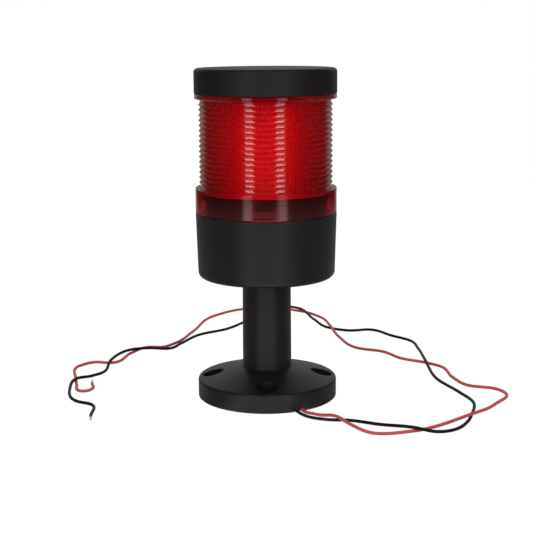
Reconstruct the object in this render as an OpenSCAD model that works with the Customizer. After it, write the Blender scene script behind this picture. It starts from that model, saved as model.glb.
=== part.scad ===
// Signal tower light: one red tier with a cap, on a pole with a round foot

/* [Foot] */
// How far the foot's rim stands out beyond the tower's skin
foot_overhang = 0; // [-1:0.5:10]
// Height of the rim, up to where the cone starts
rim_h = 9.3; // [7:0.1:11]
// Rise of the cone from the rim to the pole
cone_h = 6; // [4:0.1:8]
// Rounding of the rim's upper edge
rim_edge_r = 1.2; // [0.4:0.1:2]
// Fillet where the cone meets the pole
pole_fillet_r = 1.6; // [0.6:0.1:3]
// Wall thickness of the hollow foot
foot_wall = 3; // [2.4:0.1:4]
// Thickness of the ribs under the foot
foot_rib_t = 2; // [1.2:0.1:3]
// Gap between the ribs and the mounting surface
foot_rib_lift = 0.6; // [0.2:0.1:1.5]
// Distance of the mounting holes from the rim
hole_inset = 7.5; // [7:0.1:9]
// Diameter of each mounting hole
hole_d = 5.5; // [4:0.1:6.5]
// Diameter of the recess for each screw head
recess_d = 10.6; // [9:0.1:11.5]
// Thickness left under each screw head
recess_floor = 4; // [3:0.1:6]
// Wall round each screw recess
recess_wall = 2.2; // [1.6:0.1:2.6]
// Angle at which the two leads leave the rim
outlet_angle = -64; // [-68:1:-60]
// Gap round each lead in its slot through the rim
lead_slot_gap = 0.15; // [0.1:0.05:0.3]

/* [Pole] */
// Length of the pole between the cone and the housing
pole_len = 46.2; // [30:0.2:120]
// Diameter of the pole at the foot
pole_foot_d = 24.6; // [24:0.1:27]
// Diameter of the pole under the housing
pole_top_d = 24.2; // [23:0.1:25]
// Bore of the pole
pole_bore_d = 18.4; // [16:0.1:19]
// Thickness of the pole's top wall
pole_top_t = 3; // [2:0.1:5]
// Diameter of the threaded neck
neck_d = 20; // [18:0.5:21]
// Bore of the threaded neck
neck_bore_d = 14; // [13:0.1:15]
// Length of neck that stands out of the nut
neck_spare = 1.4; // [0.5:0.1:2.5]
// Thickness of the washer under the nut
washer_t = 1.2; // [0.8:0.1:2]
// Diameter of the washer
washer_d = 29; // [26:0.5:30]
// Height of the nut
nut_h = 7; // [5:0.1:8]
// Width of the nut across its flats
nut_flats = 27; // [25:0.5:28]

/* [Housing] */
// Diameter of the housing's upper edge, the lens seat and the cap
tower_d = 70; // [68:0.5:80]
// How much narrower the housing's underside is than its upper edge
housing_taper = 1.7; // [0:0.1:4]
// Height of the housing
housing_h = 32.5; // [31:0.5:45]
// Rounding of the housing's lower edge
housing_edge_r = 3; // [1:0.1:4]
// Wall thickness of the housing
housing_wall = 2.6; // [2:0.1:3.2]
// Thickness of the housing's floor
housing_floor_t = 3; // [2:0.1:4]
// Distance of the plate's screws from the edge of the LED plate
plate_screw_inset = 3.4; // [3:0.1:4]
// Diameter of the bosses that carry the plate
plate_boss_d = 7; // [6:0.1:7.4]
// Distance of the board's screws from the board's edge
board_screw_inset = 5; // [4:0.1:6]
// Diameter of the posts that carry the board
board_post_d = 6.4; // [5.6:0.1:7]

/* [Twist lock] */
// Wall between the tower's skin and the twist-lock socket
socket_wall = 2.8; // [2.4:0.1:3.2]
// Gap between the spigot and the socket
spigot_gap = 2; // [1.8:0.1:2.4]
// Height of a spigot
spigot_h = 9.8; // [9.4:0.1:12]
// Wall thickness of a spigot
spigot_wall = 2.5; // [2.2:0.1:3]
// Room above a spigot
spigot_room = 0.4; // [0.3:0.1:1]
// Number of lugs
lug_count = 3; // [2:1:4]
// Angle that one lug covers
lug_angle = 24; // [16:1:28]
// Height of a spigot's lug
spigot_lug_h = 2.2; // [1.6:0.1:2.3]
// Height of a socket's lug
socket_lug_h = 2.5; // [1.8:0.1:2.6]
// Height of a socket's lug above the seat
socket_lug_lift = 1.5; // [0.8:0.1:1.6]
// Play between lugs, and between lugs and walls
lug_play = 0.4; // [0.3:0.05:0.5]
// Angle that a lug's stop covers
stop_angle = 4; // [3:0.5:8]
// Angle between a lug and its stop when the lock is closed
stop_play = 0.6; // [0.4:0.1:2]
// Thickness of the plate that carries the lower spigot
plate_t = 2.5; // [2:0.1:4]
// Thickness of a sealing ring's section
seal_d = 2; // [1.6:0.1:2]
// Depth of a sealing ring's groove
seal_depth = 0.3; // [0.2:0.05:0.6]

/* [Lens] */
// Step between the tower's skin and the lens's rings
lens_inset = 0.05; // [0.05:0.05:1]
// Thickness of the step between the lens's ring and its ribbed wall
lens_step_t = 2.1; // [1:0.1:3]
// Number of ribs
rib_count = 17; // [8:1:24]
// Height of a rib, from its lip to where it runs out into the wall
rib_h = 2.3; // [1.6:0.1:3.6]
// Plain wall between two ribs
rib_gap = 0.22; // [0.1:0.02:1]
// Thickness of a rib's lip
rib_lip = 0.3; // [0.2:0.05:0.6]
// Depth of the ribs
rib_depth = 0.8; // [0.4:0.05:1.2]
// Distance of the ribs' lips from the tower's skin
rib_inset = 2.1; // [1.6:0.05:2.6]
// Wall thickness behind the ribs
lens_wall = 2.2; // [1.6:0.1:2.6]
// Number of flutes inside the wall
flute_count = 96; // [48:12:96]
// Depth of the flutes
flute_depth = 0.1; // [0.05:0.05:0.3]
// Plain wall between the highest rib and the flange
flange_gap = 0.83; // [0.2:0.01:3]
// Thickness of the lens's upper flange
flange_t = 2.25; // [2:0.05:4]
// Rounding of the lens's edges
lens_edge_r = 0.4; // [0.3:0.1:1.1]

/* [Cap] */
// Thickness of the cap's top
cap_top_t = 2.3; // [1.6:0.1:6]
// Rounding of the cap's upper edge
cap_edge_r = 2; // [0.6:0.1:2.2]

/* [Light source] */
// Thickness of the plate that carries the LED column
led_base_t = 3; // [2:0.1:4]
// Gap between that plate and the spigot round it
led_base_gap = 0.9; // [0.5:0.1:1.2]
// Distance of the column's corners from the axis
column_r = 16.6; // [14:0.1:17.5]
// Wall thickness of the column
column_wall = 2; // [1.4:0.1:3]
// Gap between the column and the cap
column_top_gap = 12; // [6:0.5:20]
// Width of an LED strip board
strip_w = 11; // [8:0.1:11.4]
// Thickness of an LED strip board
strip_t = 1; // [0.8:0.1:1.6]
// Bare column above and below a strip board
strip_margin = 2; // [1:0.1:5]
// Number of LEDs on a strip board
led_count = 4; // [2:1:6]
// Size of a square LED
led_w = 5; // [3:0.1:5.5]
// Thickness of an LED
led_t = 1.6; // [0.8:0.1:2]
// Rim round the well in an LED
led_rim = 0.5; // [0.3:0.1:0.9]
// Depth of the well in an LED
led_well = 0.4; // [0.2:0.1:0.6]

/* [Driver board] */
// Height of the board above the housing's floor
board_lift = 15.5; // [14.5:0.1:16]
// Thickness of the board
board_t = 1.6; // [1:0.1:2]
// Diameter of the board
board_d = 54; // [52:0.5:58]
// Diameter of the hole for the leads in the board
lead_hole_d = 15; // [13.5:0.1:15.5]
// Diameter of the hole for the contact pins in the plate
plate_hole_d = 22; // [21:0.5:26]
// Distance of the board's parts from the ring of its screws
part_inset = 4.75; // [4.7:0.05:6]
// Room round the bosses where the board is notched
boss_room = 0.4; // [0.3:0.1:0.8]
// Diameter of the screws
screw_d = 3; // [2.5:0.1:3.4]
// Diameter of the screws' heads
screw_head_d = 5.6; // [5:0.1:5.8]
// Height of the screws' heads
screw_head_h = 2; // [1.4:0.1:2.4]
// Width of the cross slot in a screw's head
cross_w = 1; // [0.6:0.1:1.2]
// Rim left round the cross slot
cross_rim = 1; // [0.6:0.1:1.4]
// Depth of the cross slot
cross_depth = 1.1; // [0.6:0.1:1.2]
// Length of screw thread in a boss
screw_grip = 8; // [5:0.5:10]
// Gap round a screw or a neck in its hole
hole_gap = 0.1; // [0.05:0.05:0.3]
// Length of the terminal block
terminal_l = 8; // [7:0.1:8.5]
// Width of the terminal block
terminal_w = 10; // [9:0.1:11]
// Height of the terminal block
terminal_h = 8; // [7:0.1:9]
// Distance of the terminal block from the axis
terminal_x = 10; // [9.5:0.1:10.5]
// Distance between the two terminals
terminal_pitch = 5; // [4.5:0.1:5.5]
// Height of the terminals' openings above the board
terminal_lift = 3.5; // [2.5:0.1:4]
// Diameter of the terminals' openings
terminal_bore_d = 2.4; // [2:0.1:3]
// Depth of the terminals' openings
terminal_depth = 5; // [4:0.1:6]
// Diameter of the terminals' screws
terminal_screw_d = 3; // [2.5:0.1:3.4]
// Length of the terminals' screws
terminal_screw_l = 2; // [1.5:0.1:2.2]
// Slot width of the terminals' screws
terminal_slot_w = 0.6; // [0.4:0.1:0.8]
// Diameter of the capacitor
capacitor_d = 6.3; // [5:0.1:8]
// Height of the capacitor
capacitor_h = 7.4; // [5:0.1:8]
// Length of the rectifier
rectifier_l = 6.4; // [5:0.1:8]
// Width of the rectifier
rectifier_w = 5; // [4:0.1:6]
// Height of the rectifier
rectifier_h = 2.6; // [2:0.1:4]
// Length of a resistor
resistor_l = 3.2; // [2:0.1:5]
// Width of a resistor
resistor_w = 1.6; // [1:0.1:2.6]
// Height of a resistor
resistor_h = 0.6; // [0.4:0.1:1.2]
// Number of resistors
resistor_count = 4; // [2:1:5]
// Diameter of the contact pins
pin_d = 1.6; // [1:0.1:2]
// Distance of the contact pins from the axis
pin_x = 9.3; // [9:0.1:9.6]

/* [Leads] */
// Diameter of the two supply leads
lead_d = 1.6; // [1.2:0.1:1.8]
// Angle between the two leads in the outlet
lead_spread = 5; // [4.5:0.1:6]
// Diameter of the bare strand at the leads' ends
strand_d = 0.8; // [0.5:0.1:1]
// Length of bare strand
strand_l = 6; // [2:0.5:12]

/* [Hidden] */
$fn = 96;

black_plastic = "#2b2a2b";
red_plastic = "#b8141a";
white_plastic = "#ecebe6";
steel = "#b9bcc0";
brass = "#c9a54a";
board_green = "#2f6b45";
rubber = "#1c1c1d";
red_cover = "#b03a3c";
black_cover = "#262526";

// Overlap that keeps a cut clear of the face it opens
cut = 1;
// Depth to which joined shapes run into each other
join = 0.2;

foot_d = tower_d + 2 * foot_overhang;
foot_r = foot_d / 2;
hole_circle_d = foot_d - 2 * hole_inset;
pole_foot_r = pole_foot_d / 2;
pole_top_r = pole_top_d / 2;
tower_r = tower_d / 2;
housing_foot_d = tower_d - housing_taper;

// Heights from the mounting surface up
z_cone = rim_h + cone_h;
z_shoulder = z_cone + pole_len;
z_floor = z_shoulder + housing_floor_t;
z_nut = z_floor + washer_t;
z_neck = z_nut + nut_h + neck_spare;
z_board = z_floor + board_lift;
z_board_top = z_board + board_t;
z_seat = z_shoulder + housing_h;
z_plate = z_seat - plate_t;
z_led_base_top = z_seat + led_base_t;
z_socket_top = z_seat + spigot_h + spigot_room;
z_ring = z_socket_top + lens_step_t;
rib_pitch = rib_h + rib_gap;
z_flange = z_ring + (rib_count - 1) * rib_pitch + rib_h + flange_gap;
z_deck = z_flange + flange_t;
z_cap_inner = z_deck + spigot_h + spigot_room;
z_top = z_cap_inner + cap_top_t;
z_column_top = z_cap_inner - column_top_gap;

// Radii of the twist lock
socket_r = tower_r - socket_wall;
spigot_r = socket_r - spigot_gap;
spigot_in_r = spigot_r - spigot_wall;
seal_r = spigot_r - seal_depth + seal_d / 2;
spigot_lug_lift = socket_lug_lift + socket_lug_h + lug_play;
seal_lift = spigot_lug_lift + spigot_lug_h + lug_play + seal_d / 2;
seal_groove_room = 0.05;

// Radii of the lens
lens_r = tower_r - lens_inset;
crest_r = tower_r - rib_inset;
valley_r = crest_r - rib_depth;
lens_bore_r = valley_r - lens_wall;
rib_turn = 2 * atan(rib_depth / (rib_h - rib_lip));
rib_flare_r = (rib_h - rib_lip) / sin(rib_turn);

cone_slope = cone_h / (foot_r - pole_foot_r);
cone_angle = atan(cone_slope);
hole_count = 4;
foot_rib_count = 2 * hole_count;
column_sides = 8;
led_base_r = spigot_in_r - led_base_gap;
plate_screw_ring = led_base_r - plate_screw_inset;
board_screw_ring = board_d / 2 - board_screw_inset;
plate_r = socket_r;
plate_gap = 0.2;
column_apothem = column_r * cos(180 / column_sides);
strip_h = z_column_top - z_led_base_top - 2 * strip_margin;
screw_count = 3;
plate_screw_angle = 30;
board_screw_angle = 90;
part_edge_r = 0.4;

// Places of the parts on the driver board, as angles from the terminal block
part_ring = board_screw_ring - part_inset;
capacitor_angle = 64;
rectifier_angle = -116;
resistor_step = 15;

lead_r = lead_d / 2;
lead_sides = 8;
rings_per_point = 2;
inner_rings_per_point = 3;

function polar(r, a, z) = [r * cos(a), r * sin(a), z];
function cone_z(r) = rim_h + cone_slope * (foot_r - r);
function arc(c, r, a0, a1, n = 8) =
    [for (i = [0 : n]) c + r * [cos(a0 + (a1 - a0) * i / n), sin(a0 + (a1 - a0) * i / n)]];

// Route of each free lead on the mounting surface, from the outlet to the far end
lead_z = lead_r;
lead_start_l = 4;
function lead_angle(side) = outlet_angle + side * lead_spread / 2;
function lead_start(side) = [
    polar(foot_r, lead_angle(side), lead_z),
    polar(foot_r + lead_start_l, lead_angle(side), lead_z)
];
red_route = concat(lead_start(1), [
    [23.5, -38, 0.8], [32.5, -46.5, 2.6], [38.5, -55.5, 1.6], [49, -66.5, 0.8],
    [66, -64, 0.8], [96, -45.5, 2.6], [112.5, -23, 0.8], [121, -6, 0.8],
    [118, 2, 0.8], [104, 9.5, 0.8], [98.5, 24.5, 0.8], [95, 46, 0.8],
    [87, 54.5, 0.8], [76, 62.5, 0.8], [66, 78.5, 0.8], [53, 86, 0.8],
    [43.5, 110, 1.3], [39, 135.5, 2.6], [34, 164, 1.2], [21, 183, 0.8],
    [5, 187, 2.6], [-15, 188.5, 1], [-34, 170.5, 0.8], [-45.5, 129, 0.8],
    [-55.5, 98.5, 0.8], [-61, 91.5, 0.8], [-69.5, 91.5, 0.8], [-78, 78.5, 0.8],
    [-87, 57.5, 0.8], [-96.5, 59, 0.8], [-103, 53, 0.8], [-102, 26, 0.8],
    [-99.5, 13, 0.8], [-98.6, 7.2, 0.8], [-96.6, 3.8, 0.8], [-92.8, 3.8, 0.8],
    [-90.8, 7.2, 0.8], [-92, 17, 0.8]
]);
black_route = concat(lead_start(-1), [
    [19.5, -41.5, 0.8], [28, -46, 0.8], [39, -47.5, 0.8], [53, -55.5, 1.3],
    [66.5, -63.5, 2.6], [78, -66, 1.2], [87, -61.5, 0.8], [94, -51, 0.8],
    [98, -39.5, 0.8], [102, -20, 0.8], [97.5, -2, 0.8], [90, 20.5, 0.8],
    [87.5, 54.5, 2.6], [87.5, 84, 1], [85.5, 102, 0.8], [75.5, 115, 0.8],
    [63, 130.5, 0.8], [51.5, 128.5, 0.8], [39, 135.5, 0.8], [30, 157, 1.3],
    [21, 182.5, 2.7], [13, 193, 1.2], [-1, 182, 0.8], [-14.5, 152.5, 0.8],
    [-25, 134.5, 0.8], [-41, 120.5, 0.8], [-51, 99.5, 0.8], [-57, 88, 0.8],
    [-67.5, 88, 1.1], [-78, 78.5, 2.8], [-87, 57, 2.6], [-88.5, 40, 0.8],
    [-94, 28.5, 1.6], [-101, 19.5, 2.6], [-102, 6, 1.2], [-95, -14.5, 0.8],
    [-87.5, -19.5, 0.8], [-85, -38, 0.8]
]);

// Route of each lead inside the stand, from the outlet up to its terminal
lead_x = 4;
z_terminal = z_board_top + terminal_lift;
lead_bend = 3.5;
function turned(p, a) = [p.x * cos(a) - p.y * sin(a), p.x * sin(a) + p.y * cos(a), p.z];
function inside_route(side) = concat(
    [polar(foot_r, lead_angle(side), lead_z), polar(foot_r - lead_start_l, lead_angle(side), lead_z)],
    [for (p = [
        [22, 1.3, 1.6], [13, 1.6, 4.5], [6.5, 2, 11], [lead_x, terminal_pitch / 2, 22],
        [lead_x, terminal_pitch / 2, (z_cone + z_shoulder) / 2],
        [lead_x, terminal_pitch / 2, z_terminal - 3 * lead_bend],
        [lead_x, terminal_pitch / 2, z_terminal - lead_bend],
        [lead_x + lead_bend * (1 - cos(45)), terminal_pitch / 2, z_terminal - lead_bend * (1 - sin(45))],
        [lead_x + lead_bend, terminal_pitch / 2, z_terminal],
        [terminal_x + terminal_depth, terminal_pitch / 2, z_terminal]
    ]) turned([p.x, side * p.y, p.z], outlet_angle)]);

// Smooth curve through a route's points: slope at a point, and place and slope between points
function unit(v) = v / norm(v);
function slope(p, i) =
    i == 0 ? unit(p[1] - p[0]) :
    i == len(p) - 1 ? unit(p[i] - p[i - 1]) :
    let (a = p[i] - p[i - 1], b = p[i + 1] - p[i])
    unit(a * norm(b) / norm(a) + b * norm(a) / norm(b));
function place(p, i, t) =
    let (h = norm(p[i + 1] - p[i]))
    (2 * t ^ 3 - 3 * t ^ 2 + 1) * p[i] + (t ^ 3 - 2 * t ^ 2 + t) * h * slope(p, i)
    + (3 * t ^ 2 - 2 * t ^ 3) * p[i + 1] + (t ^ 3 - t ^ 2) * h * slope(p, i + 1);
function heading(p, i, t) =
    let (h = norm(p[i + 1] - p[i]))
    unit((6 * t ^ 2 - 6 * t) * (p[i] - p[i + 1]) / h
    + (3 * t ^ 2 - 4 * t + 1) * slope(p, i) + (3 * t ^ 2 - 2 * t) * slope(p, i + 1));
function rested(p) = [p.x, p.y, max(p.z, lead_z)];
function stations(p, n) = concat(
    [for (i = [0 : len(p) - 2], k = [0 : n - 1]) [rested(place(p, i, k / n)), heading(p, i, k / n)]],
    [[p[len(p) - 1], slope(p, len(p) - 1)]]);
function ring_points(s, aside) =
    let (u = unit(cross(s[1], aside)), v = cross(s[1], u))
    [for (k = [0 : lead_sides - 1]) s[0] + lead_r * (cos(360 * k / lead_sides) * u
    + sin(360 * k / lead_sides) * v)];

// Tube along a route; aside is a direction that the route never takes
module lead_tube(route, n, aside) {
    rings = stations(route, n);
    last = len(rings) - 1;
    points = [for (s = rings) each ring_points(s, aside)];
    walls = [for (i = [0 : last - 1], k = [0 : lead_sides - 1])
        let (a = i * lead_sides + k, b = i * lead_sides + (k + 1) % lead_sides)
        each [[a, a + lead_sides, b], [b, a + lead_sides, b + lead_sides]]];
    ends = [
        [for (k = [0 : lead_sides - 1]) k],
        [for (k = [lead_sides - 1 : -1 : 0]) last * lead_sides + k]
    ];
    polyhedron(points, concat(walls, ends));
}

// Bare strand that carries on from the end of a route
module strand(route) {
    end = route[len(route) - 1];
    way = slope(route, len(route) - 1);
    translate(end)
        rotate([0, 0, atan2(way.y, way.x)])
            rotate([0, 90, 0])
                cylinder(d = strand_d, h = strand_l);
}

module around(n, a0 = 0) {
    for (i = [0 : n - 1])
        rotate([0, 0, a0 + i * 360 / n])
            children();
}

// Sector of a ring, centred on the X axis
module ring_sector(r_in, r_out, angle, h) {
    rotate([0, 0, -angle / 2])
        rotate_extrude(angle = angle)
            translate([r_in, 0])
                square([r_out - r_in, h]);
}

// Lugs on the outside of a spigot that stands on height z; each lug runs halfway into its stop
module spigot_lugs(z) {
    tip = socket_r - lug_play;
    stop_at = -(lug_angle + stop_angle) / 2;
    around(lug_count, plate_screw_angle) {
        rotate([0, 0, -stop_angle / 4])
            translate([0, 0, z + spigot_lug_lift])
                ring_sector(spigot_r - join, tip, lug_angle + stop_angle / 2, spigot_lug_h);
        rotate([0, 0, stop_at])
            translate([0, 0, z + lug_play])
                ring_sector(spigot_r - 2 * join, tip - lug_play, stop_angle,
                    spigot_lug_lift + spigot_lug_h / 2 - lug_play);
    }
}

// Lugs on the inside of a socket that sits on height z, a little clear of the stops
module socket_lugs(z) {
    around(lug_count, plate_screw_angle)
        rotate([0, 0, stop_play / 2])
            translate([0, 0, z + socket_lug_lift])
                ring_sector(spigot_r + lug_play, socket_r + join, lug_angle - stop_play, socket_lug_h);
}

// Groove for the sealing ring of a spigot that stands on height z
module seal_groove(z) {
    w = seal_d + 2 * seal_groove_room;
    translate([0, 0, z + seal_lift - w / 2])
        difference() {
            cylinder(r = spigot_r + cut, h = w);
            translate([0, 0, -cut])
                cylinder(r = spigot_r - seal_depth, h = w + 2 * cut);
        }
}

// Sealing ring of a spigot that stands on height z
module seal_ring(z) {
    translate([0, 0, z + seal_lift])
        rotate_extrude()
            translate([seal_r, 0])
                circle(d = seal_d);
}

// Screw with a cross slot in its flat head, standing head up on height z
module head_screw(z, shank) {
    cross_l = screw_head_d - 2 * cross_rim;
    difference() {
        union() {
            translate([0, 0, z - shank])
                cylinder(d = screw_d, h = shank + join);
            translate([0, 0, z])
                cylinder(d = screw_head_d, h = screw_head_h);
        }
        for (a = [0, 90])
            rotate([0, 0, a])
                translate([-cross_l / 2, -cross_w / 2, z + screw_head_h - cross_depth])
                    cube([cross_l, cross_w, cross_depth + cut]);
    }
}

module at_plate_screws() {
    around(screw_count, plate_screw_angle)
        translate([plate_screw_ring, 0, 0])
            children();
}

module at_board_screws() {
    around(screw_count, board_screw_angle)
        translate([board_screw_ring, 0, 0])
            children();
}

// Outline of the stand: rim, cone, fillet, pole and neck
module stand_profile() {
    edge = [foot_r - rim_edge_r, rim_h + cone_slope * rim_edge_r - rim_edge_r / cos(cone_angle)];
    fillet = [pole_foot_r + pole_fillet_r, z_cone - cone_slope * pole_fillet_r
        + pole_fillet_r / cos(cone_angle)];
    neck_r = neck_d / 2;
    polygon(concat(
        [[0, 0], [foot_r - part_edge_r, 0], [foot_r, part_edge_r]],
        arc(edge, rim_edge_r, 0, 90 - cone_angle),
        arc(fillet, pole_fillet_r, 270 - cone_angle, 180),
        [[pole_top_r, z_shoulder], [neck_r, z_shoulder],
            [neck_r, z_neck - part_edge_r], [neck_r - part_edge_r, z_neck], [0, z_neck]]));
}

// Hollow under the cone, with walls left for ribs and screw bosses
module foot_hollow() {
    rim_in_r = foot_r - foot_wall;
    rib_start_r = pole_foot_r + foot_rib_t / 2;
    difference() {
        rotate_extrude()
            polygon([[0, -cut], [rim_in_r, -cut], [rim_in_r, cone_z(rim_in_r) - foot_wall],
                [pole_foot_r, cone_z(pole_foot_r) - foot_wall], [0, cone_z(pole_foot_r) - foot_wall]]);
        around(foot_rib_count)
            translate([rib_start_r, -foot_rib_t / 2, foot_rib_lift])
                cube([foot_r - rib_start_r, foot_rib_t, z_cone]);
        around(hole_count)
            translate([hole_circle_d / 2, 0, -2 * cut])
                cylinder(d = recess_d + 2 * recess_wall, h = z_cone);
    }
}

// Slot through the rim for one lead, open at the mounting surface
module lead_slot() {
    slot_r = lead_r + lead_slot_gap;
    translate([0, -slot_r, -cut])
        cube([3 * foot_wall, 2 * slot_r, lead_z + cut]);
    translate([0, 0, lead_z])
        rotate([0, 90, 0])
            cylinder(r = slot_r, h = 3 * foot_wall);
}

module stand() {
    color(black_plastic)
        difference() {
            rotate_extrude()
                stand_profile();
            foot_hollow();
            translate([0, 0, -cut])
                cylinder(d = pole_bore_d, h = z_shoulder - pole_top_t + cut);
            translate([0, 0, -cut])
                cylinder(d = neck_bore_d, h = z_neck + 2 * cut);
            around(hole_count)
                translate([hole_circle_d / 2, 0, 0]) {
                    translate([0, 0, -cut])
                        cylinder(d = hole_d, h = z_cone);
                    translate([0, 0, recess_floor])
                        cylinder(d = recess_d, h = z_cone);
                }
            for (side = [-1, 1])
                rotate([0, 0, lead_angle(side)])
                    translate([foot_r - 2 * foot_wall, 0, 0])
                        lead_slot();
        }
}

module base_housing() {
    bottom_r = housing_foot_d / 2;
    in_top_r = tower_r - housing_wall;
    in_floor_r = bottom_r - housing_wall;
    corner = [bottom_r - housing_edge_r, z_shoulder + housing_edge_r];
    color(black_plastic)
        difference() {
            union() {
                difference() {
                    rotate_extrude()
                        polygon(concat([[0, z_shoulder]], arc(corner, housing_edge_r, -90, 0),
                            [[tower_r, z_seat - part_edge_r], [tower_r - part_edge_r, z_seat], [0, z_seat]]));
                    rotate_extrude()
                        polygon([[0, z_floor], [in_floor_r, z_floor],
                            [in_top_r, z_seat + cut], [0, z_seat + cut]]);
                }
                at_plate_screws()
                    translate([0, 0, z_floor - join])
                        cylinder(d = plate_boss_d, h = z_plate - z_floor + join);
                at_board_screws()
                    translate([0, 0, z_floor - join])
                        cylinder(d = board_post_d, h = board_lift + join);
            }
            translate([0, 0, z_shoulder - cut])
                cylinder(d = neck_d + 2 * hole_gap, h = housing_floor_t + 2 * cut);
            at_plate_screws()
                translate([0, 0, z_plate - screw_grip - cut])
                    cylinder(d = screw_d + 2 * hole_gap, h = screw_grip + 2 * cut);
            at_board_screws()
                translate([0, 0, z_board - screw_grip - cut])
                    cylinder(d = screw_d + 2 * hole_gap, h = screw_grip + 2 * cut);
        }
}

module pole_washer() {
    color(steel)
        translate([0, 0, z_floor])
            difference() {
                cylinder(d = washer_d, h = washer_t);
                translate([0, 0, -cut])
                    cylinder(d = neck_d + 2 * hole_gap, h = washer_t + 2 * cut);
            }
}

module pole_nut() {
    color(black_plastic)
        translate([0, 0, z_nut])
            difference() {
                cylinder(d = nut_flats / cos(30), h = nut_h, $fn = 6);
                translate([0, 0, -cut])
                    cylinder(d = neck_d + 2 * hole_gap, h = nut_h + 2 * cut);
            }
}

module bayonet_plate() {
    color(black_plastic) {
        difference() {
            union() {
                translate([0, 0, z_plate])
                    cylinder(r = plate_r - plate_gap, h = plate_t);
                translate([0, 0, z_seat - join])
                    cylinder(r = spigot_r, h = spigot_h + join);
                spigot_lugs(z_seat);
            }
            translate([0, 0, z_seat])
                cylinder(r = spigot_in_r, h = spigot_h + cut);
            translate([0, 0, z_plate - cut])
                cylinder(d = plate_hole_d, h = plate_t + 2 * cut);
            at_plate_screws()
                translate([0, 0, z_plate - cut])
                    cylinder(d = screw_d + 2 * hole_gap, h = plate_t + 2 * cut);
            seal_groove(z_seat);
        }
    }
}

module plate_screws() {
    color(steel)
        at_plate_screws()
            head_screw(z_led_base_top, led_base_t + plate_t + screw_grip);
}

module base_seal() {
    color(rubber)
        seal_ring(z_seat);
}

module driver_board() {
    color(board_green)
        translate([0, 0, z_board])
            difference() {
                cylinder(d = board_d, h = board_t);
                translate([0, 0, -cut])
                    cylinder(d = lead_hole_d, h = board_t + 2 * cut);
                at_board_screws()
                    translate([0, 0, -cut])
                        cylinder(d = screw_d + 2 * hole_gap, h = board_t + 2 * cut);
                at_plate_screws()
                    translate([0, 0, -cut]) {
                        cylinder(d = plate_boss_d + 2 * boss_room, h = board_t + 2 * cut);
                        translate([0, -plate_boss_d / 2 - boss_room, 0])
                            cube([board_d, plate_boss_d + 2 * boss_room, board_t + 2 * cut]);
                    }
            }
}

module board_screws() {
    color(steel)
        at_board_screws()
            head_screw(z_board_top, board_t + screw_grip);
}

// Places its children at the openings of the two terminals
module at_terminals() {
    rotate([0, 0, outlet_angle])
        for (side = [-1, 1])
            translate([terminal_x, side * terminal_pitch / 2, z_terminal])
                children();
}

module terminal_block() {
    screw_x = terminal_l / 2;
    screw_top = terminal_h - terminal_lift;
    color(board_green)
        difference() {
            rotate([0, 0, outlet_angle])
                translate([terminal_x, -terminal_w / 2, z_board_top])
                    cube([terminal_l, terminal_w, terminal_h]);
            at_terminals() {
                translate([-cut, 0, 0])
                    rotate([0, 90, 0])
                        cylinder(d = terminal_bore_d, h = terminal_depth + cut);
                translate([screw_x, 0, screw_top - terminal_screw_l])
                    cylinder(d = terminal_screw_d, h = terminal_screw_l + cut);
            }
        }
}

module terminal_screws() {
    screw_x = terminal_l / 2;
    screw_top = terminal_h - terminal_lift;
    color(steel)
        at_terminals()
            translate([screw_x, 0, screw_top - terminal_screw_l])
                difference() {
                    cylinder(d = terminal_screw_d - 2 * hole_gap, h = terminal_screw_l);
                    translate([-terminal_screw_d, -terminal_slot_w / 2, terminal_screw_l / 2])
                        cube([2 * terminal_screw_d, terminal_slot_w, terminal_screw_l]);
                }
}

// Places its children on the driver board, at an angle from the terminal block
module on_board(angle, r) {
    rotate([0, 0, outlet_angle + angle])
        translate([r, 0, z_board_top])
            children();
}

module capacitor() {
    color(black_cover)
        on_board(capacitor_angle, part_ring)
            cylinder(d = capacitor_d, h = capacitor_h);
}

module rectifier() {
    color(black_cover)
        on_board(rectifier_angle, part_ring)
            translate([-rectifier_l / 2, -rectifier_w / 2, 0])
                cube([rectifier_l, rectifier_w, rectifier_h]);
}

module resistors() {
    color(black_cover)
        for (i = [0 : resistor_count - 1])
            on_board(180 + (i - (resistor_count - 1) / 2) * resistor_step, part_ring)
                translate([-resistor_l / 2, -resistor_w / 2, 0])
                    cube([resistor_l, resistor_w, resistor_h]);
}

module contact_pins() {
    color(brass)
        for (side = [-1, 1])
            on_board(side * 90, pin_x)
                cylinder(d = pin_d, h = z_seat - z_board_top);
}

module led_base() {
    color(white_plastic)
        translate([0, 0, z_seat])
            difference() {
                cylinder(r = led_base_r, h = led_base_t);
                at_plate_screws()
                    translate([0, 0, -cut])
                        cylinder(d = screw_d + 2 * hole_gap, h = led_base_t + 2 * cut);
            }
}

module led_column() {
    h = z_column_top - z_led_base_top;
    color(white_plastic)
        translate([0, 0, z_led_base_top])
            difference() {
                cylinder(r = column_r, h = h, $fn = column_sides);
                translate([0, 0, -cut])
                    cylinder(r = column_r - column_wall, h = h + 2 * cut, $fn = column_sides);
            }
}

// Places its children on face i of the LED column, at the strip board's lower edge
module on_face(i) {
    rotate([0, 0, (i + 0.5) * 360 / column_sides])
        translate([column_apothem, 0, z_led_base_top + strip_margin])
            children();
}

module led_strip(i) {
    color(white_plastic)
        on_face(i)
            translate([0, -strip_w / 2, 0])
                cube([strip_t, strip_w, strip_h]);
}

module leds() {
    step = strip_h / led_count;
    color("#f4e9b8")
        for (i = [0 : column_sides - 1], k = [0 : led_count - 1])
            on_face(i)
                translate([strip_t, 0, (k + 0.5) * step])
                    difference() {
                        translate([0, -led_w / 2, -led_w / 2])
                            cube([led_t, led_w, led_w]);
                        translate([led_t - led_well, 0, 0])
                            rotate([0, 90, 0])
                                cylinder(d = led_w - 2 * led_rim, h = led_well + cut);
                    }
}

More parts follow.
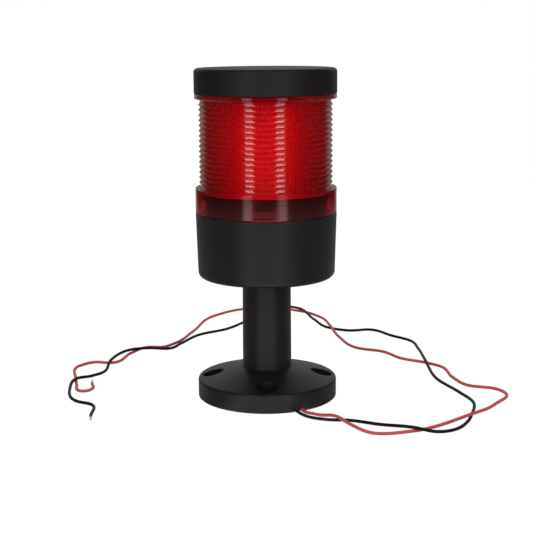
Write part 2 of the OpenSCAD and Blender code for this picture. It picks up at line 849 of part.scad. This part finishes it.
// Outline of a rib that flares out from the wall down to its lip
function rib_outline(z) = concat(
    [[crest_r, z]], arc([valley_r + rib_flare_r, z + rib_h], rib_flare_r, 180 + rib_turn, 180, 5));

// Outline of the lens: ring, ribbed wall, flange and spigot
module lens_profile() {
    ring_edge = [lens_r - lens_edge_r, z_ring - lens_edge_r];
    polygon(concat(
        [[socket_r, z_seat], [lens_r - part_edge_r, z_seat], [lens_r, z_seat + part_edge_r]],
        arc(ring_edge, lens_edge_r, 0, 90),
        rib_outline(z_ring),
        [for (i = [1 : rib_count - 1]) let (z = z_ring + i * rib_pitch)
            each concat([[valley_r, z]], rib_outline(z))],
        [[valley_r, z_flange], [lens_r - part_edge_r, z_flange], [lens_r, z_flange + part_edge_r],
            [lens_r, z_deck - part_edge_r], [lens_r - part_edge_r, z_deck],
            [spigot_r, z_deck], [spigot_r, z_deck + spigot_h],
            [spigot_in_r, z_deck + spigot_h], [spigot_in_r, z_flange],
            [lens_bore_r - flute_depth - join, z_flange], [lens_bore_r - flute_depth - join, z_socket_top],
            [socket_r, z_socket_top]]));
}

// Space inside the lens, with a point outwards for each flute
module fluted_bore() {
    translate([0, 0, z_ring])
        linear_extrude(z_flange - z_ring)
            polygon([for (i = [0 : 2 * flute_count - 1]) let (a = i * 180 / flute_count)
                (lens_bore_r - (i % 2) * flute_depth) * [cos(a), sin(a)]]);
}

module lens() {
    color(red_plastic)
        union() {
            difference() {
                rotate_extrude()
                    lens_profile();
                fluted_bore();
                seal_groove(z_deck);
            }
            socket_lugs(z_seat);
            spigot_lugs(z_deck);
        }
}

module cap_seal() {
    color(rubber)
        seal_ring(z_deck);
}

module top_cap() {
    edge = [tower_r - cap_edge_r, z_top - cap_edge_r];
    color(black_plastic) {
        rotate_extrude()
            polygon(concat(
                [[socket_r, z_deck], [tower_r - part_edge_r, z_deck], [tower_r, z_deck + part_edge_r]],
                arc(edge, cap_edge_r, 0, 90),
                [[0, z_top], [0, z_cap_inner], [socket_r, z_cap_inner]]));
        socket_lugs(z_deck);
    }
}

up = [0, 0, 1];
across = polar(1, outlet_angle + 90, 0);

module red_lead_inside() {
    color(red_cover)
        lead_tube(inside_route(1), inner_rings_per_point, across);
}

module black_lead_inside() {
    color(black_cover)
        lead_tube(inside_route(-1), inner_rings_per_point, across);
}

module red_lead() {
    color(red_cover)
        lead_tube(red_route, rings_per_point, up);
}

module black_lead() {
    color(black_cover)
        lead_tube(black_route, rings_per_point, up);
}

module red_strand() {
    color(steel)
        strand(red_route);
}

module black_strand() {
    color(steel)
        strand(black_route);
}

stand();
base_housing();
pole_washer();
pole_nut();
bayonet_plate();
plate_screws();
base_seal();
driver_board();
board_screws();
terminal_block();
terminal_screws();
capacitor();
rectifier();
resistors();
contact_pins();
led_base();
led_column();
led_strip(0);  // led_strip_1
led_strip(1);  // led_strip_2
led_strip(2);  // led_strip_3
led_strip(3);  // led_strip_4
led_strip(4);  // led_strip_5
led_strip(5);  // led_strip_6
led_strip(6);  // led_strip_7
led_strip(7);  // led_strip_8
leds();
lens();
cap_seal();
top_cap();
red_lead_inside();
black_lead_inside();
red_lead();
black_lead();
red_strand();
black_strand();
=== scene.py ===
import math

import bpy
from mathutils import Matrix, Vector


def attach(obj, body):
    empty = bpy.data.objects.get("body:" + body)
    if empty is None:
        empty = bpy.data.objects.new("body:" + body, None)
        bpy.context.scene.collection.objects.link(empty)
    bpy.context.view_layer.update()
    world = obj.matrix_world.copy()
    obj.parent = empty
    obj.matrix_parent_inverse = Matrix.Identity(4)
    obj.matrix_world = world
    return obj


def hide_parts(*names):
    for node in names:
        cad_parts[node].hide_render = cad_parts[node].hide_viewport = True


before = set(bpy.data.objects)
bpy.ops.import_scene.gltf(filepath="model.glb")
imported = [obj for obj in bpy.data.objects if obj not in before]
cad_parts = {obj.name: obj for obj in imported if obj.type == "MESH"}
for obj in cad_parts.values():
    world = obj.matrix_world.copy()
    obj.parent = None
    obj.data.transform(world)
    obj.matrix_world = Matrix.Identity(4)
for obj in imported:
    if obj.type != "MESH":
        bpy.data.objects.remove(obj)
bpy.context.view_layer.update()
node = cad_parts
scene = bpy.context.scene
MM = 0.001


# Camera, in millimetres and degrees

PHOTO_SIDE = 536
FOCAL_PIXELS = 1215.2
SENSOR_WIDTH = 36
CAMERA_PLACE = (0, -598.3, 181.6)
CAMERA_PITCH = 11.003
CAMERA_ROLL = -0.349
CAMERA_PAN = 0.068


def place_camera():
    pitch, roll, pan = [math.radians(angle) for angle in (CAMERA_PITCH, CAMERA_ROLL, CAMERA_PAN)]
    ahead = Vector((math.sin(pan) * math.cos(pitch), math.cos(pan) * math.cos(pitch), -math.sin(pitch)))
    right = Vector((math.cos(pan), -math.sin(pan), 0))
    up = right.cross(ahead)
    across = right * math.cos(roll) + up * math.sin(roll)
    upright = up * math.cos(roll) - right * math.sin(roll)
    data = bpy.data.cameras.new("photo_camera")
    data.sensor_width = SENSOR_WIDTH
    data.lens = FOCAL_PIXELS * SENSOR_WIDTH / PHOTO_SIDE
    data.clip_start = 0.01
    data.clip_end = 50
    camera = bpy.data.objects.new("photo_camera", data)
    scene.collection.objects.link(camera)
    turn = Matrix((across, upright, -ahead)).transposed().to_4x4()
    camera.matrix_world = Matrix.Translation(Vector(CAMERA_PLACE) * MM) @ turn
    scene.camera = camera


place_camera()


# Supply leads, in millimetres and degrees

FOOT_R = 35
OUTLET_ANGLE = -64
SLOT_TURN = 2.5
STRAIGHT_OUT = 4
LEAD_D = 1.6
LEAD_REST = LEAD_D / 2
RESTS_WITHIN = 0.05
LEAD_ROUNDNESS = 5
LEAD_STEPS = 12
LENGTH_STEPS = 24
STRAND_D = 0.8
STRAND_LENGTH = 6
STRAND_TURNS = 0.8
STRAND_STEPS = 36
OUTER_WIRES = 6
WIRES_ACROSS = 3
WIRE_ROUNDNESS = 3
WIRES_OPEN_AFTER = 0.7
WIRES_OPEN_BY = 0.05
WIRES_UNEVEN_BY = 0.03

# Points on the floor, with a height where the lead is lifted by what it crosses
RED_ROUTE = [
    (23.5, -38), (32.5, -46.5, 2.6), (38.5, -55.5, 1.6), (49, -66.5),
    (66, -64), (96, -45.5, 2.6), (112.5, -23), (121, -6),
    (118, 2), (104, 9.5), (98.5, 24.5), (95, 46),
    (87, 54.5), (76, 62.5), (66, 78.5), (53, 86),
    (43.5, 110, 1.3), (39, 135.5, 2.6), (34, 164, 1.2), (21, 183),
    (5, 187, 2.6), (-15, 188.5, 1), (-34, 170.5), (-45.5, 129),
    (-55.5, 98.5), (-61, 91.5), (-69.5, 91.5), (-78, 78.5),
    (-87, 57.5), (-96.5, 59), (-103, 53), (-102, 26),
    (-99.5, 13), (-98.6, 7.2), (-96.6, 3.8), (-92.8, 3.8),
    (-90.8, 7.2), (-92, 17),
]
BLACK_ROUTE = [
    (19.5, -41.5), (28, -46), (39, -47.5), (53, -55.5, 1.3),
    (66.5, -63.5, 2.6), (78, -66, 1.2), (87, -61.5), (94, -51),
    (98, -39.5), (102, -20), (97.5, -2), (90, 20.5),
    (87.5, 54.5, 2.6), (87.5, 84, 1), (85.5, 102), (75.5, 115),
    (63, 130.5), (51.5, 128.5), (39, 135.5), (30, 157, 1.3),
    (21, 182.5, 2.7), (13, 193, 1.2), (-1, 182), (-14.5, 152.5),
    (-25, 134.5), (-41, 120.5), (-51, 99.5), (-57, 88),
    (-67.5, 88, 1.1), (-78, 78.5, 2.8), (-87, 57, 2.6), (-88.5, 40),
    (-94, 28.5, 1.6), (-101, 19.5, 2.6), (-102, 6, 1.2), (-95, -14.5),
    (-87.5, -19.5), (-85, -38),
]


def at_outlet(radius, angle):
    turn = math.radians(angle)
    return Vector((radius * math.cos(turn), radius * math.sin(turn), LEAD_REST))


def whole_route(angle, route):
    """Points of a lead in metres, from the outlet in the foot's rim to the far end of its cover."""
    points = [at_outlet(FOOT_R, angle), at_outlet(FOOT_R + STRAIGHT_OUT, angle)]
    for x, y, *lifted in route:
        points.append(Vector((x, y, lifted[0] if lifted else LEAD_REST)))
    return [p * MM for p in points]


def slopes_along(points):
    """Direction of the lead at each point; where it rests on the floor it lies level."""
    slopes = [(points[1] - points[0]).normalized()]
    for before, here, after in zip(points, points[1:], points[2:]):
        a, b = here - before, after - here
        slope = (a * b.length / a.length + b * a.length / b.length).normalized()
        if here.z < (LEAD_REST + RESTS_WITHIN) * MM:
            slope.z = 0
        slopes.append(slope)
    slopes.append((points[-1] - points[-2]).normalized())
    return slopes


def handles_along(points):
    """The two handles of each point, never lower than a lead that rests on the floor."""
    handles = []
    for i, (here, slope) in enumerate(zip(points, slopes_along(points))):
        back = (here - points[max(i - 1, 0)]).length / 3
        ahead = (points[min(i + 1, len(points) - 1)] - here).length / 3
        pair = [here - slope * back, here + slope * ahead]
        for handle in pair:
            handle.z = max(handle.z, LEAD_REST * MM)
        handles.append(pair)
    return handles


def round_curve(name, roundness):
    """A curve with closed ends, as thick as the radius of its points."""
    data = bpy.data.curves.new(name, "CURVE")
    data.dimensions = "3D"
    data.bevel_depth = 1.0
    data.bevel_resolution = roundness
    data.use_fill_caps = True
    return data


def lay_lead(name, points):
    data = round_curve(name, LEAD_ROUNDNESS)
    data.resolution_u = LEAD_STEPS
    spline = data.splines.new("BEZIER")
    spline.bezier_points.add(len(points) - 1)
    for knot, here, (left, right) in zip(spline.bezier_points, points, handles_along(points)):
        knot.handle_left_type = knot.handle_right_type = "FREE"
        knot.co = here
        knot.handle_left = left
        knot.handle_right = right
        knot.radius = LEAD_D / 2 * MM
    lead = bpy.data.objects.new(name, data)
    scene.collection.objects.link(lead)
    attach(lead, "base")
    return lead


def curve_length(points):
    handles = handles_along(points)
    total = 0
    for i in range(len(points) - 1):
        corners = (points[i], handles[i][1], handles[i + 1][0], points[i + 1])
        last = points[i]
        for k in range(1, LENGTH_STEPS + 1):
            t = k / LENGTH_STEPS
            shares = ((1 - t) ** 3, 3 * t * (1 - t) ** 2, 3 * t * t * (1 - t), t**3)
            here = sum((c * share for c, share in zip(corners, shares)), Vector())
            total += (here - last).length
            last = here
    return total


def bare_strand(name, points):
    """Six tinned wires twisted round a seventh, which open a little at the tip."""
    end = points[-1]
    along = (points[-1] - points[-2]).normalized()
    aside = along.cross(Vector((0, 0, 1))).normalized()
    above = aside.cross(along)
    wire_r = STRAND_D / WIRES_ACROSS / 2 * MM
    data = round_curve(name, WIRE_ROUNDNESS)
    for wire in range(OUTER_WIRES + 1):
        spline = data.splines.new("POLY")
        spline.points.add(STRAND_STEPS)
        length = STRAND_LENGTH * MM * (1 - WIRES_UNEVEN_BY * (math.sin(5 * wire) + 1))
        for k, point in enumerate(spline.points):
            t = k / STRAND_STEPS
            turn = 2 * math.pi * (wire / OUTER_WIRES + STRAND_TURNS * t)
            opened = WIRES_OPEN_BY * math.sin(3 * wire) * max(0, t - WIRES_OPEN_AFTER)
            away = 0 if wire == OUTER_WIRES else 2 * wire_r * (1 + opened)
            p = end + along * (length * t)
            p = p + aside * (away * math.cos(turn)) + above * (away * math.sin(turn))
            point.co = (*p, 1)
            point.radius = wire_r
    strand = bpy.data.objects.new(name, data)
    scene.collection.objects.link(strand)
    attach(strand, "base")
    return strand


red_points = whole_route(OUTLET_ANGLE + SLOT_TURN, RED_ROUTE)
black_points = whole_route(OUTLET_ANGLE - SLOT_TURN, BLACK_ROUTE)
red_lead = lay_lead("red_supply_lead", red_points)
black_lead = lay_lead("black_supply_lead", black_points)
red_strand = bare_strand("red_lead_strand", red_points)
black_strand = bare_strand("black_lead_strand", black_points)
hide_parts("red_lead")
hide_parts("black_lead")
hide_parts("red_strand")
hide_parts("black_strand")
for lead, strand, points in ((red_lead, red_strand, red_points), (black_lead, black_strand, black_points)):
    curve_length(points)


# LEDs, in millimetres

COLUMN_SIDES = 8
COLUMN_R = 16.6
COLUMN_APOTHEM = COLUMN_R * math.cos(math.pi / COLUMN_SIDES)
STRIP_FOOT = 99
STRIP_H = 49.2
STRIP_T = 1
LEDS_PER_STRIP = 4
LED_W = 5
LED_T = 1.6
LED_CORNER_REACH = 1.33
LOOP_POINTS = 16

# Loops of an LED from its board to the middle of its well: half width, depth under the top, square or round
LED_LOOPS = (
    (LED_W / 2, LED_T, True),
    (LED_W / 2, 0.3, True),
    (LED_W / 2 - 0.25, 0.0, True),
    (2.0, 0.0, False),
    (1.85, 0.35, False),
    (1.2, 0.22, False),
    (0.5, 0.15, False),
)
FIRST_FILLED_LOOP = 4


def led_loop(half, depth, square):
    """Points round an LED, on a square with cut corners or on a circle."""
    loop = []
    for k in range(LOOP_POINTS):
        a = 2 * math.pi * (k + 0.5) / LOOP_POINTS
        reach = half
        if square:
            reach = min(half / max(abs(math.cos(a)), abs(math.sin(a))), half * LED_CORNER_REACH)
        loop.append(Vector((LED_T - depth, reach * math.cos(a), reach * math.sin(a))))
    return loop


def led_packages(name):
    """White square frames, each with a round well that is filled with phosphor."""
    loops = [led_loop(*sizes) for sizes in LED_LOOPS]
    corners, faces, fills = [], [], []
    for side in range(COLUMN_SIDES):
        turn = Matrix.Rotation((side + 0.5) * 2 * math.pi / COLUMN_SIDES, 4, "Z")
        for k in range(LEDS_PER_STRIP):
            height = STRIP_FOOT + (k + 0.5) * STRIP_H / LEDS_PER_STRIP
            middle = Vector((COLUMN_APOTHEM + STRIP_T, 0, height))
            first = len(corners)
            for loop in loops:
                corners += [turn @ (middle + p) * MM for p in loop]
            for ring in range(len(loops) - 1):
                start = first + ring * LOOP_POINTS
                for i in range(LOOP_POINTS):
                    a, b = start + i, start + (i + 1) % LOOP_POINTS
                    faces.append((a, b, b + LOOP_POINTS, a + LOOP_POINTS))
                    fills.append(ring >= FIRST_FILLED_LOOP)
            faces.append(tuple(first + (len(loops) - 1) * LOOP_POINTS + i for i in range(LOOP_POINTS)))
            fills.append(True)
            faces.append(tuple(first + i for i in reversed(range(LOOP_POINTS))))
            fills.append(False)
    mesh = bpy.data.meshes.new(name)
    mesh.from_pydata(corners, [], faces)
    mesh.polygons.foreach_set("material_index", [int(fill) for fill in fills])
    packages = bpy.data.objects.new(name, mesh)
    scene.collection.objects.link(packages)
    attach(packages, "base")
    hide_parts("leds")
    return packages


leds = led_packages("led_packages")


# Finishes

WHITE = (1.0, 1.0, 1.0)


class Value:
    """A shader socket that takes part in plain arithmetic."""

    def __init__(self, finish, socket):
        self.finish = finish
        self.socket = socket

    def maths(self, operation, *values):
        return self.finish.add("ShaderNodeMath", {"operation": operation}, dict(enumerate(values)))

    def __add__(self, other):
        return self.maths("ADD", self, other)

    def __sub__(self, other):
        return self.maths("SUBTRACT", self, other)

    def __rsub__(self, other):
        return self.maths("SUBTRACT", other, self)

    def __mul__(self, other):
        return self.maths("MULTIPLY", self, other)

    def __pow__(self, other):
        return self.maths("POWER", self, other)

    __radd__ = __add__
    __rmul__ = __mul__

    def size(self):
        return self.maths("ABSOLUTE", self)

    def most(self, other):
        return self.maths("MAXIMUM", self, other)

    def ease(self, low, high):
        """0 below low and 1 above high, with a soft step between."""
        settings = {"interpolation_type": "SMOOTHSTEP"}
        return self.finish.add("ShaderNodeMapRange", settings, {0: self, 1: low, 2: high, 3: 0.0, 4: 1.0})


class Finish:
    """A node tree with one method for its nodes, and short forms of that method."""

    def __init__(self, tree):
        self.tree = tree
        tree.nodes.clear()

    def add(self, kind, settings=None, inputs=None, output=0):
        made = self.tree.nodes.new(kind)
        for name, value in (settings or {}).items():
            setattr(made, name, value)
        for key, value in (inputs or {}).items():
            socket = made.inputs[key]
            if isinstance(value, Value):
                self.tree.links.new(value.socket, socket)
            elif socket.type == "RGBA":
                socket.default_value = (*value, 1)
            else:
                socket.default_value = value
        return Value(self, made.outputs[output]) if made.outputs else None

    def place(self):
        return self.add("ShaderNodeTexCoord", output="Object")

    def split(self, vector):
        return [self.add("ShaderNodeSeparateXYZ", None, {0: vector}, k) for k in range(3)]

    def rays(self):
        """Whether a surface is met by the camera, in a mirror or through something clear."""
        names = ("Is Camera Ray", "Is Glossy Ray", "Is Transmission Ray")
        return [self.add("ShaderNodeLightPath", output=name) for name in names]

    def cloud(self, where, scale, detail=2.0, rough=0.5):
        inputs = {"Vector": where, "Scale": scale, "Detail": detail, "Roughness": rough}
        return self.add("ShaderNodeTexNoise", None, inputs, "Fac")

    def blend(self, share, first, second):
        settings = {"data_type": "RGBA", "clamp_factor": True}
        return self.add("ShaderNodeMix", settings, {0: share, 6: first, 7: second}, 2)

    def cover(self, share, under, over):
        return self.add("ShaderNodeMixShader", None, {0: share, 1: under, 2: over})

    def matt(self, grey):
        return self.add("ShaderNodeBsdfDiffuse", None, {"Color": (grey, grey, grey)})

    def glow(self, strength):
        return self.add("ShaderNodeEmission", None, {"Color": WHITE, "Strength": strength})

    def raised(self, height, depth, strength):
        inputs = {"Height": height, "Distance": depth * MM, "Strength": strength}
        return self.add("ShaderNodeBump", None, inputs)

    def moulded(self, **inputs):
        named = {}
        for key, value in inputs.items():
            named[key.replace("_", " ").title().replace("Ior", "IOR")] = value
        return self.add("ShaderNodeBsdfPrincipled", None, named)

    def close(self, surface):
        self.add("ShaderNodeOutputMaterial", None, {"Surface": surface})


DUST_GREY = (0.09, 0.088, 0.086)
RUBBED_GREY = (0.05, 0.048, 0.048)
LENS_RED_LOW = (0.97, 0.020, 0.060)
LENS_RED_HIGH = (1.0, 0.030, 0.080)
LENS_DEEP_RED = (1.0, 0.0, 0.0)
LENS_DENSITY = 60.0
LENS_IOR = 1.58

# Radii in millimetres: the lens is frosted up to the first and clear from the second
FROSTED_R = 30.2
CLEAR_R = 31.0

# Heights and radii of the edges that hands and the bench rub: foot, rim, housing and cap
RUBBED_HEIGHTS = (0.2, 9.1, 93.8, 152.2, 163.6)
RUBBED_FROM_R = 33.6
RUBBED_FULL_R = 34.6
RUBBED_HALF = 0.2
RUBBED_REACH = 0.9


def new_finish(name):
    material = bpy.data.materials.new(name)
    material.use_nodes = True
    return material, Finish(material.node_tree)


def from_axis(x, y):
    return (x * x + y * y) ** 0.5


def black_moulding(name, low, high, rough, shine):
    """Black plastic with a fine eroded grain, a little dust and paler rubbed edges."""
    material, f = new_finish(name)
    at = f.place()
    x, y, z = f.split(at)
    flow = f.cloud(at, 45.0, 3.0)
    grain = f.cloud(at, 2400.0)
    dust = f.cloud(at, 700.0, 4.0, 0.65).ease(0.6, 0.8)
    rubbed = 0.0
    for height in RUBBED_HEIGHTS:
        rubbed = rubbed + (1 - (z - height * MM).size().ease(RUBBED_HALF * MM, RUBBED_REACH * MM))
    rubbed = rubbed * from_axis(x, y).ease(RUBBED_FROM_R * MM, RUBBED_FULL_R * MM)
    rubbed = rubbed * f.cloud(at, 260.0, 4.0, 0.7).ease(0.42, 0.72)
    colour = f.blend(flow, low, high)
    colour = f.blend(dust * 0.1, colour, DUST_GREY)
    colour = f.blend(rubbed * 0.3, colour, RUBBED_GREY)
    f.close(
        f.moulded(
            base_color=colour,
            roughness=rough + flow * 0.1 + dust * 0.1 - rubbed * 0.06,
            specular_ior_level=shine,
            normal=f.raised(grain, 0.02, 0.35),
        )
    )
    return material


def red_lens(name):
    """Clear red polycarbonate, glossy outside, frosted inside, deeper where the wall is seen edge on."""
    material, f = new_finish(name)
    at = f.place()
    waves = f.cloud(at, 120.0)
    haze = f.cloud(at, 900.0, 3.0)
    x, y, _ = f.split(at)
    inside = 1 - from_axis(x, y).ease(FROSTED_R * MM, CLEAR_R * MM)
    surface = f.moulded(
        base_color=f.blend(waves, LENS_RED_LOW, LENS_RED_HIGH),
        roughness=0.07 + haze * 0.04 + inside * 0.5,
        ior=LENS_IOR,
        transmission_weight=1.0,
        normal=f.raised(waves, 0.04, 0.1),
    )
    depth = f.add("ShaderNodeVolumeAbsorption", None, {"Color": LENS_DEEP_RED, "Density": LENS_DENSITY})
    f.add("ShaderNodeOutputMaterial", None, {"Surface": surface, "Volume": depth})
    return material


def plain_skin(name, low, high, rough):
    """Plastic, lacquer or rubber of one colour, a little cloudy, with a fine grain."""
    material, f = new_finish(name)
    at = f.place()
    flow = f.cloud(at, 80.0, 3.0)
    grain = f.cloud(at, 1800.0)
    f.close(
        f.moulded(
            base_color=f.blend(flow, low, high),
            roughness=rough + grain * 0.12,
            normal=f.raised(grain, 0.02, 0.25),
        )
    )
    return material


def metal(name, low, high, rough):
    """Bare or plated metal with small scuffs."""
    material, f = new_finish(name)
    at = f.place()
    tone = f.cloud(at, 220.0, 4.0)
    scuffs = f.cloud(at, 1600.0, 3.0)
    f.close(
        f.moulded(
            base_color=f.blend(tone, low, high),
            metallic=1.0,
            roughness=rough + scuffs * 0.18,
            normal=f.raised(scuffs, 0.01, 0.4),
        )
    )
    return material


def lead_cover(name, low, high, shine):
    """Vinyl cover, glossy, a little matted where it was handled."""
    material, f = new_finish(name)
    at = f.place()
    tone = f.cloud(at, 60.0, 3.0)
    skin = f.cloud(at, 1500.0)
    f.close(
        f.moulded(
            base_color=f.blend(tone, low, high),
            roughness=0.32 + tone * 0.12 + skin * 0.06,
            specular_ior_level=shine,
            normal=f.raised(skin, 0.02, 0.3),
        )
    )
    return material


def dress(material, *names):
    for name in names:
        mesh = node[name].data
        mesh.materials.clear()
        mesh.materials.append(material)


def dress_piece(material, *pieces):
    for piece in pieces:
        piece.data.materials.append(material)


satin_black = black_moulding("satin_black", (0.0117, 0.0088, 0.0106), (0.0152, 0.0119, 0.0140), 0.34, 0.25)
matt_black = black_moulding("matt_black", (0.0084, 0.0064, 0.0076), (0.0119, 0.0094, 0.0109), 0.44, 0.36)
column_white = plain_skin("column_white", (0.86, 0.86, 0.84), (0.92, 0.92, 0.90), 0.4)
strip_board_white = plain_skin("strip_board_white", (0.88, 0.88, 0.86), (0.93, 0.93, 0.92), 0.35)
led_frame = plain_skin("led_frame", (0.80, 0.80, 0.78), (0.88, 0.88, 0.86), 0.35)
led_phosphor = plain_skin("led_phosphor", (0.82, 0.66, 0.22), (0.90, 0.78, 0.36), 0.3)
solder_mask = plain_skin("solder_mask", (0.02, 0.12, 0.05), (0.03, 0.17, 0.08), 0.3)
component_black = plain_skin("component_black", (0.012, 0.012, 0.013), (0.02, 0.02, 0.021), 0.45)
seal_rubber = plain_skin("seal_rubber", (0.01, 0.01, 0.01), (0.016, 0.016, 0.016), 0.6)
zinc_steel = metal("zinc_steel", (0.45, 0.46, 0.48), (0.60, 0.61, 0.62), 0.28)
pin_brass = metal("pin_brass", (0.62, 0.45, 0.16), (0.74, 0.56, 0.24), 0.25)
tinned_copper = metal("tinned_copper", (0.62, 0.60, 0.58), (0.76, 0.74, 0.72), 0.25)
red_vinyl = lead_cover("red_vinyl", (0.76, 0.090, 0.093), (0.88, 0.122, 0.125), 0.5)
black_vinyl = lead_cover("black_vinyl", (0.0085, 0.008, 0.0085), (0.014, 0.013, 0.014), 0.2)

dress(satin_black, "stand", "base_housing", "bayonet_plate", "pole_nut")
dress(matt_black, "top_cap")
dress(red_lens("red_lens"), "lens")
dress(column_white, "led_column", "led_base")
dress(strip_board_white, *[f"led_strip_{i + 1}" for i in range(COLUMN_SIDES)])
dress(solder_mask, "driver_board", "terminal_block")
dress(component_black, "capacitor", "rectifier", "resistors")
dress(seal_rubber, "base_seal", "cap_seal")
dress(zinc_steel, "pole_washer", "plate_screws", "board_screws", "terminal_screws")
dress(pin_brass, "contact_pins")
dress(red_vinyl, "red_lead_inside")
dress(black_vinyl, "black_lead_inside")
dress_piece(led_frame, leds)
dress_piece(led_phosphor, leds)
dress_piece(red_vinyl, red_lead)
dress_piece(black_vinyl, black_lead)
dress_piece(tinned_copper, red_strand, black_strand)


# Studio, in metres and degrees; a pair of distances is where a soft step starts and ends

LEFT_AZIMUTH = -29.2
RIGHT_AZIMUTH = 25.8
MIDDLE_AZIMUTH = -2.29
LAMP_AIM = (0, 0, 0.09)
FLOOR_HALF = 3.0
PAPER_GREY = 0.66
DIM_GREY = 0.04
LANE_STRENGTH = 2.1
WHITE_STRENGTH = 1.15

# Half widths of the lanes for each metre in front of the axis, and how their edges soften
LANE_HALF = 0.16
BETWEEN_HALF = 0.5
LANE_EDGE = 0.015
LANE_EDGE_GROWS = 0.11

# Distances from the axis at which the floor changes
LANE_ENDS = (0.55, 0.85)
BETWEEN_ENDS = (0.45, 0.6)
DIM_STARTS = (0.5, 0.8)
BEHIND_STARTS = (0.1, 0.5)
ASIDE_STARTS = (0.8, 1.1)

# Directions that count as behind the object and as beside it
BEHIND_SPREAD = 1.2
ASIDE_LEAN = 0.6
ASIDE_NARROWS = 0.5
ASIDE_SOFTENS = (0.0, 0.3)

# Shares of white that the floor shows
BETWEEN_SHARE = 0.55
SEEN_SHARE = 0.85
BEHIND_MIRRORED = 0.38
BEHIND_THROUGH = 0.3
ASIDE_MIRRORED = 0.1

# Strengths of the world: in all, in a mirror low and high behind the object, and through the lens
ROOM_LEVEL = 0.35
ROOM_MIRRORED = 0.1
SKY_MIRRORED_LOW = 0.26
SKY_MIRRORED_HIGH = 0.64
SKY_THROUGH_BEHIND = 0.5
SKY_THROUGH_BEFORE = 1.95

# Directions in which the world changes, as parts of a vector of length 1
SKY_BEHIND = (0.7, 0.95)
SKY_AROUND = (0.6, 0.85)
SKY_RISES = (0.16, 0.28)
SKY_BEFORE = (-0.2, 0.7)


def studio_floor():
    """Pale paper, white to the camera and behind the object, with a faint shadow under the foot.

    Two bright lanes in front, and the paper between them, are what the black walls mirror.
    Pale paper on both sides gives the ribs at the lens's sides their thin lines.
    """
    mesh = bpy.data.meshes.new("studio_floor")
    corners = [(x * FLOOR_HALF, y * FLOOR_HALF, 0) for x, y in ((-1, -1), (1, -1), (1, 1), (-1, 1))]
    mesh.from_pydata(corners, [], [(0, 1, 2, 3)])
    floor = bpy.data.objects.new("studio_floor", mesh)
    scene.collection.objects.link(floor)
    material, f = new_finish("white_floor")
    seen, mirrored, through = f.rays()
    x, y, _ = f.split(f.place())
    radius = from_axis(x, y)
    edge = LANE_EDGE + y.size() * LANE_EDGE_GROWS

    def lane(azimuth, half):
        """A wedge of paper that widens, and gets softer edges, from the foot to the front."""
        off_middle = (x + y * math.tan(math.radians(azimuth))).size()
        return 1 - (off_middle + y * half).ease(0.0 - edge, edge)

    pair = lane(LEFT_AZIMUTH, LANE_HALF).most(lane(RIGHT_AZIMUTH, LANE_HALF))
    pair = pair * (1 - radius.ease(*LANE_ENDS))
    between = lane(MIDDLE_AZIMUTH, BETWEEN_HALF) * (1 - radius.ease(*BETWEEN_ENDS)) * BETWEEN_SHARE
    behind = (y - x.size() * BEHIND_SPREAD).ease(*BEHIND_STARTS)
    aside = (x.size() + y * ASIDE_LEAN - radius * ASIDE_NARROWS).ease(*ASIDE_SOFTENS)
    aside = aside * radius.ease(*ASIDE_STARTS)
    room = f.cover(mirrored * radius.ease(*DIM_STARTS), f.matt(PAPER_GREY), f.matt(DIM_GREY))
    room = f.cover(mirrored * pair.most(between), room, f.glow(LANE_STRENGTH))
    white = behind * (mirrored * BEHIND_MIRRORED).most(through * BEHIND_THROUGH)
    white = (seen * SEEN_SHARE).most(white).most(aside * mirrored * ASIDE_MIRRORED)
    f.close(f.cover(white, room, f.glow(WHITE_STRENGTH)))
    mesh.materials.append(material)


def studio_world():
    """White to the camera, and pale behind the object to what is mirrored or seen through the lens.

    In front it is bright to what comes through the lens, because that lights the column.
    """
    world = bpy.data.worlds.new("studio")
    scene.world = world
    world.use_nodes = True
    f = Finish(world.node_tree)
    seen, mirrored, through = f.rays()
    _, ahead, up = f.split(f.add("ShaderNodeTexCoord", output="Generated"))
    behind = ahead.ease(*SKY_BEHIND)
    rise = up.ease(*SKY_RISES) * (SKY_MIRRORED_HIGH - SKY_MIRRORED_LOW)
    around = ahead.ease(*SKY_AROUND) * (SKY_MIRRORED_LOW + rise)
    before = (0.0 - ahead).ease(*SKY_BEFORE)
    clear = (behind * through * SKY_THROUGH_BEHIND).most(before * through * SKY_THROUGH_BEFORE)
    backdrop = seen.most(around * mirrored).most(clear)
    room = (1 - mirrored * (1 - ROOM_MIRRORED)) * ROOM_LEVEL
    strength = backdrop + (1 - backdrop) * room
    sky = f.add("ShaderNodeBackground", None, {"Color": WHITE, "Strength": strength})
    f.add("ShaderNodeOutputWorld", None, {"Surface": sky})


def softbox(name, azimuth, elevation, distance, width, height, watts):
    """A soft lamp round the object; azimuth 0 is at the camera, 90 on the right."""
    a, e = math.radians(azimuth), math.radians(elevation)
    back = Vector((math.sin(a) * math.cos(e), -math.cos(a) * math.cos(e), math.sin(e)))
    data = bpy.data.lights.new(name, "AREA")
    data.shape = "RECTANGLE"
    data.size = width
    data.size_y = height
    data.energy = watts
    lamp = bpy.data.objects.new(name, data)
    scene.collection.objects.link(lamp)
    lamp.location = Vector(LAMP_AIM) + back * distance
    lamp.rotation_mode = "QUATERNION"
    lamp.rotation_quaternion = (-back).to_track_quat("-Z", "Y")


def lamp_pair(kind, **sizes):
    softbox(f"left_{kind}", LEFT_AZIMUTH, **sizes)
    softbox(f"right_{kind}", RIGHT_AZIMUTH, **sizes)


studio_floor()
studio_world()
lamp_pair("softbox", elevation=29, distance=0.9, width=0.21, height=0.42, watts=1.0)
lamp_pair("strip", elevation=0, distance=0.95, width=0.24, height=0.9, watts=0.4)
lamp_pair("near_strip", elevation=0, distance=0.6, width=0.15, height=0.5, watts=0.1)
softbox("top_softbox", azimuth=0, elevation=80, distance=1.1, width=1.2, height=1.4, watts=1.2)

scene.view_settings.view_transform = "Standard"
